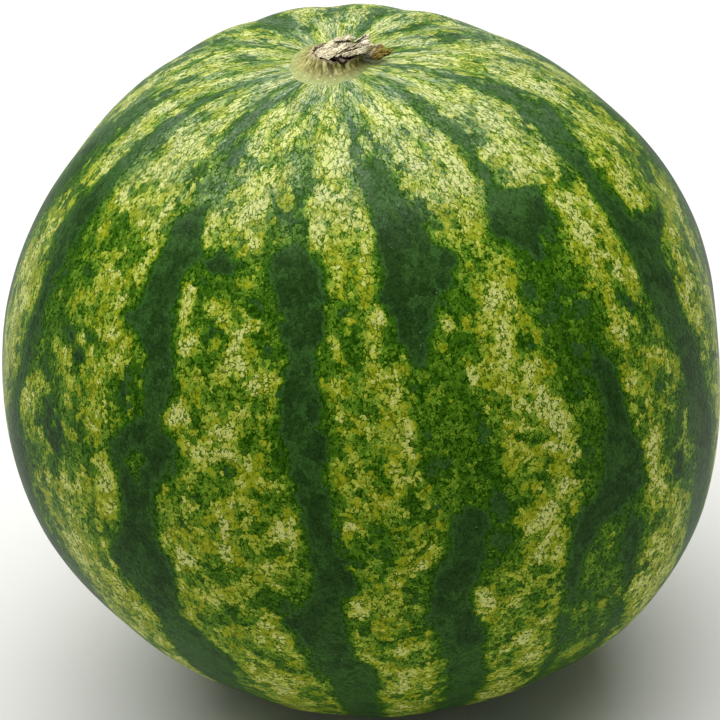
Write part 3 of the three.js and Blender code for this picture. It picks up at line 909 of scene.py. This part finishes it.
def flakeRows(flake, number, draw, top):
    steps, around = stem["flakeRows"], stem["flakeAround"]
    outline = alongOutline(flake["outline"], around)
    middle = outline.mean(axis=0)
    level, riseX, riseY = flake["plane"]
    heading = math.radians(flake["grain"])
    alongScale, acrossScale = stem["fibreScale"]
    waves = range(*stem["tearWaves"])
    phases = draw.uniform(0, 2 * math.pi, len(waves))
    rows, under = [], []
    for row in range(steps + 1):
        pitch = math.pi * (row / steps - 0.5)
        closing = row in (0, steps)
        reach = 0 if closing else math.cos(pitch) ** stem["flakeRound"]
        # painted shade: undersides and edges darker, and flakes given a shade darker still
        undersideShade = 0.5 - math.sin(pitch) * 1.2 + flake.get("shade", 0)
        places = []
        for step in range(1 if closing else around):
            turn = 2 * math.pi * step / around
            tears = [math.sin(w * turn + phase) / w ** stem["tearFall"] for w, phase in zip(waves, phases)]
            arm = outline[step] - middle
            arm = arm * (1 + flake["ragged"] * sum(tears) / 2 / np.hypot(*arm))
            x, y = middle + arm * reach
            along = x * math.cos(heading) + y * math.sin(heading)
            across = y * math.cos(heading) - x * math.sin(heading)
            grain = Vector((along * alongScale, across * acrossScale, number * 7.3))
            z = top + level + riseX * x + riseY * y + flake["thick"] / 2 * math.sin(pitch)
            z += flake["rough"] * noise.fractal(grain, 0.8, 2.1, 5)
            z += 0.5 * flake["thick"] * noise.noise(grain * 0.4)
            places.append((x, y, z))
        under += [min(max(undersideShade, 0), 1)] * len(places)
        rows.append(places)
    return rows, under


def makeBark(rindHeight, material):
    draw = np.random.default_rng(stem["seed"])
    top = rindHeight(0, 0)
    places, faces, under = [], [], []
    for number, flake in enumerate(stem["flakes"]):
        rows, values = flakeRows(flake, number, draw, top)
        shellPlaces, shellFaces = closedShell(rows)
        faces += [tuple(corner + len(places) for corner in face) for face in shellFaces]
        places += shellPlaces
        under += values
    return stemPiece("stemBark", places, faces, material, "under", under)


bark = {
    "grainTurn": 30.0,
    "grainWidth": 0.5,
    "grainLength": 4.0,
    "crackWidth": 1.1,
    "crackLength": 6.0,
    "stops": [
        (0.22, "5A4428"),
        (0.36, "A08862"),
        (0.50, "D6C8A0"),
        (0.64, "EEE4C0"),
        (0.80, "F6EEDA"),
    ],
    "fibreShare": 0.75,
    "blotchSize": 2.4,
    "blotchShare": 0.45,
    "toneShift": -0.03,
    # painted shade in the cracks
    "crack": "2A1A0C",
    "crackEdge": (0.008, 0.045),
    # places in mm from the fruit's axis where the tail turns amber, and where painted shade darkens its low
    # front edge
    "amber": "B6A856",
    "amberFrom": (11.0, 13.5),
    "low": "4C4410",
    "tailShadeBelow": (-4.6, -3.4),
    "tailShadeFrom": (8.5, 10.5),
    # painted shade colour for undersides, edges and shaded flakes
    "under": "2A1C0E",
    "roughness": 0.85,
    "ior": 1.4,
}


def makeBarkMaterial():
    constants = {"Roughness": bark["roughness"], "IOR": bark["ior"]}
    material, graph, surface = newMaterial("stemBark", constants)
    inMm = graph.scaled(graph.objectPlace(), 1 / mm)
    x, y, z = graph.parts(inMm)
    turn = (0, 0, -math.radians(bark["grainTurn"]))
    turned = graph.make("ShaderNodeMapping", None, {"Vector": inMm, "Rotation": turn})
    along, across, up = graph.parts(turned)

    def stretched(length, width):
        return graph.joined(along / length, across / width, up / width)

    fibres = graph.noise(stretched(bark["grainLength"], bark["grainWidth"]), 1.0, 4.0, 0.6)
    blotches = graph.noise(turned, bark["blotchSize"], 3.0, 0.6)
    splits = graph.noise(stretched(bark["crackLength"], bark["crackWidth"]), 1.0, 3.0, 0.6)
    crack = graph.mapped(graph.maths("ABSOLUTE", splits - 0.5), *bark["crackEdge"], 0.9, 0.0)
    tone = fibres * bark["fibreShare"] + blotches * bark["blotchShare"] + bark["toneShift"]
    tone = tone + graph.mapped(x, 6.5, 9.0) * 0.08
    straw = graph.ramp(tone, bark["stops"])
    tail = graph.mapped(x - (y + 3) * 0.8 + (blotches - 0.5) * 7, *bark["amberFrom"])
    ripe = graph.mixColour(tail, straw, bark["amber"], "MULTIPLY")
    # painted shade along the tail's low front edge
    low = graph.mapped(y + (blotches - 0.5) * 2, *bark["tailShadeBelow"], 0.7, 0.0)
    ripe = graph.mixColour(low * graph.mapped(x, *bark["tailShadeFrom"]), ripe, bark["low"])
    # painted shade: near-black lines where the bark cracks
    cracked = graph.mixColour(crack, ripe, bark["crack"])
    # painted shade from the under attribute: undersides, edges, the plug and the front fringe
    shaded = graph.mixColour(graph.mapped(graph.attribute("under"), 0.3, 0.8), cracked, bark["under"])
    graph.feed(surface.inputs["Base Color"], shaded)
    graph.feed(surface.inputs["Normal"], graph.bump(tone - crack * 0.6, 0.7, 0.2 * mm))
    return material


foot = {
    "streakTurn": 2.6,
    "stops": [
        (0.16, "4E461A"),
        (0.34, "76702E"),
        (0.50, "908C44"),
        (0.68, "BAB468"),
        (0.86, "E4E09E"),
    ],
    "skirt": "98A85E",
    "dots": "E6E4BE",
    "rim": "B4C07A",
    "crust": "E2CFA8",
    "crack": "4A3418",
    "hollow": "5A4628",
    # painted shadow: the near-black deep in the hollow
    "inside": "120A04",
    "shade": "7E8A50",
    "shadeShare": 0.35,
    # share of the rise over which each finish comes in
    "greenBelow": (0.0, 0.3),
    "dotsBelow": (0.25, 0.5),
    "rimBand": (0.015, 0.03, 0.05, 0.07),
    "rimFacing": (-0.35, -0.94, 0.0),
    "crustFrom": (0.8, 0.92),
    "crackFrom": (0.9, 0.98),
    "insideFrom": (1.0, 1.12),
    "roughness": 0.6,
}


def makeFootMaterial():
    material, graph, surface = newMaterial("stemFoot", {"Roughness": foot["roughness"]})
    rise = graph.attribute("rise")
    middle = (stem["footX"] * mm, stem["footY"] * mm, middleHeight * 2)
    offset = graph.scaled(graph.vector("SUBTRACT", graph.objectPlace(), middle), 1 / mm)
    x, y, z = graph.parts(offset)
    flat = graph.vector("NORMALIZE", graph.joined(x, y, 0.0))
    upwards = graph.joined(0.0, 0.0, rise * 0.6)
    streakPlace = graph.vector("ADD", graph.scaled(flat, foot["streakTurn"]), upwards)
    streaks = graph.make("ShaderNodeTexNoise", None, {"Vector": streakPlace, "Scale": 3.2, "Detail": 4.0})
    grains = graph.noise(offset, 0.9, 3.0)
    strength = graph.mapped(rise, 0.15, 0.6, 0.3, 1.4)
    # painted light: the tone is lifted towards the left, where the light falls; the shade below darkens the
    # right
    toneLitLeft = graph.mapped(x, -10.0, -2.0, 0.62, 0.46)
    tone = (streaks - 0.5) * strength * 1.7 + (grains - 0.5) * 0.5 + toneLitLeft
    wood = graph.ramp(tone, foot["stops"])
    # green where it leaves the rind, with pale dots above
    patchy = graph.noise(offset, 2.6, 3.0)
    green = graph.mapped(rise + (patchy - 0.5) * 0.4, *foot["greenBelow"], 0.85, 0.0)
    skirt = graph.mixColour(green, wood, foot["skirt"])
    dots = graph.mapped(graph.noise(offset, 0.9, 2.0), 0.62, 0.7)
    dots = dots * graph.mapped(rise, *foot["dotsBelow"], 0.8, 0.0)
    dotted = graph.mixColour(dots, skirt, foot["dots"])
    facing = graph.vector("DOT_PRODUCT", flat, foot["rimFacing"], out=1)
    edge = graph.band(rise, *foot["rimBand"]) * graph.mapped(facing, 0.5, 0.85, 0.0, 0.7)
    edged = graph.mixColour(edge, dotted, foot["rim"])
    # the crest: a dry crust on the left, torn on the right
    left = graph.mapped(x, -9.0, 0.0, 1.0, 0.25)
    worn = graph.mapped(rise + (streaks - 0.5) * 0.3, *foot["crustFrom"]) * left
    crusted = graph.mixColour(worn, edged, foot["crust"])
    torn = graph.mapped(rise + (grains - 0.5) * 0.3, *foot["crackFrom"])
    cracked = graph.mixColour(torn * graph.mapped(x, -7.0, 1.0, 0.0, 0.9), crusted, foot["crack"])
    # down in the hollow top: mid brown on the left, turning to near-black painted shadow on the right,
    # under the bark
    inside = graph.mixColour(graph.mapped(x, 2.5, 5.5), foot["hollow"], foot["inside"])
    filled = graph.mixColour(graph.mapped(rise, *foot["insideFrom"]), cracked, inside)
    shade = graph.mapped(x, 3.0, 11.0, 0.0, foot["shadeShare"])
    graph.feed(surface.inputs["Base Color"], graph.mixColour(shade, filled, foot["shade"], "MULTIPLY"))
    graph.feed(surface.inputs["Normal"], graph.bump(tone, 0.6, 0.25 * mm))
    return material


# Stage

camera = {
    # turn and shiftRight come from the same fit as the swells
    "tilt": 30.0,
    "turn": 5.26,
    "distance": 1.05,
    "lens": 156.0,
    "shiftRight": 3.26,
    "shiftDown": 2.59,
    "frame": 720,
    "sensor": 36,
}


def placeCamera():
    data = bpy.data.cameras.new("camera")
    body = addObject("camera", data)
    tilt = math.radians(camera["tilt"])
    back = Vector((0, -math.cos(tilt), math.sin(tilt)))
    up = Vector((0, math.sin(tilt), math.cos(tilt)))
    upright = Matrix((Vector((1, 0, 0)), up, back)).transposed()
    turned = upright @ Matrix.Rotation(-math.radians(camera["turn"]), 3, "Z")
    place = Vector((0, 0, middleHeight)) + back * camera["distance"]
    body.matrix_world = Matrix.Translation(place) @ turned.to_4x4()
    data.sensor_width = camera["sensor"]
    data.lens = camera["lens"]
    data.shift_x = -camera["shiftRight"] / camera["frame"]
    data.shift_y = camera["shiftDown"] / camera["frame"]
    bpy.context.scene.camera = body


light = {
    "world": 0.15,
    "boxSize": (2.4, 2.4),
    "boxPlace": (-0.15, 0.42, 1.55),
    "boxPower": 48,
}


def lightStage():
    world = bpy.data.worlds.new("studio")
    bpy.context.scene.world = world
    world.use_nodes = True
    background = world.node_tree.nodes["Background"]
    background.inputs["Color"].default_value = (1, 1, 1, 1)
    background.inputs["Strength"].default_value = light["world"]
    data = bpy.data.lights.new("softBox", "AREA")
    data.shape = "RECTANGLE"
    data.size, data.size_y = light["boxSize"]
    data.energy = light["boxPower"]
    addObject("softBox", data).location = light["boxPlace"]
    bpy.context.scene.view_settings.view_transform = "Standard"


floor = {"size": 8.0, "colour": "F2F1EE", "roughness": 0.7}


def layFloor():
    mesh = bpy.data.meshes.new("floor")
    half = floor["size"] / 2
    corners = [(-half, -half, 0), (half, -half, 0), (half, half, 0), (-half, half, 0)]
    mesh.from_pydata(corners, [], [(0, 1, 2, 3)])
    piece = addObject("floor", mesh)
    constants = {"Base Color": floor["colour"], "Roughness": floor["roughness"]}
    mesh.materials.append(newMaterial("floorPaper", constants)[0])


placeCamera()
lightStage()
layFloor()
print("stage set")

rindPiece = growFruit(makeRindMaterial())
paintRind(rindPiece)
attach(rindPiece, "root")
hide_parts("fruit")
print("fruit grown:", len(rindPiece.data.polygons), "faces")

bpy.context.view_layer.update()
rindHeight = rindHeightFrom(rindPiece)
footPiece = makeFoot(rindHeight, makeFootMaterial())
barkPiece = makeBark(rindHeight, makeBarkMaterial())
print("stem made:", len(footPiece.data.polygons) + len(barkPiece.data.polygons), "faces")
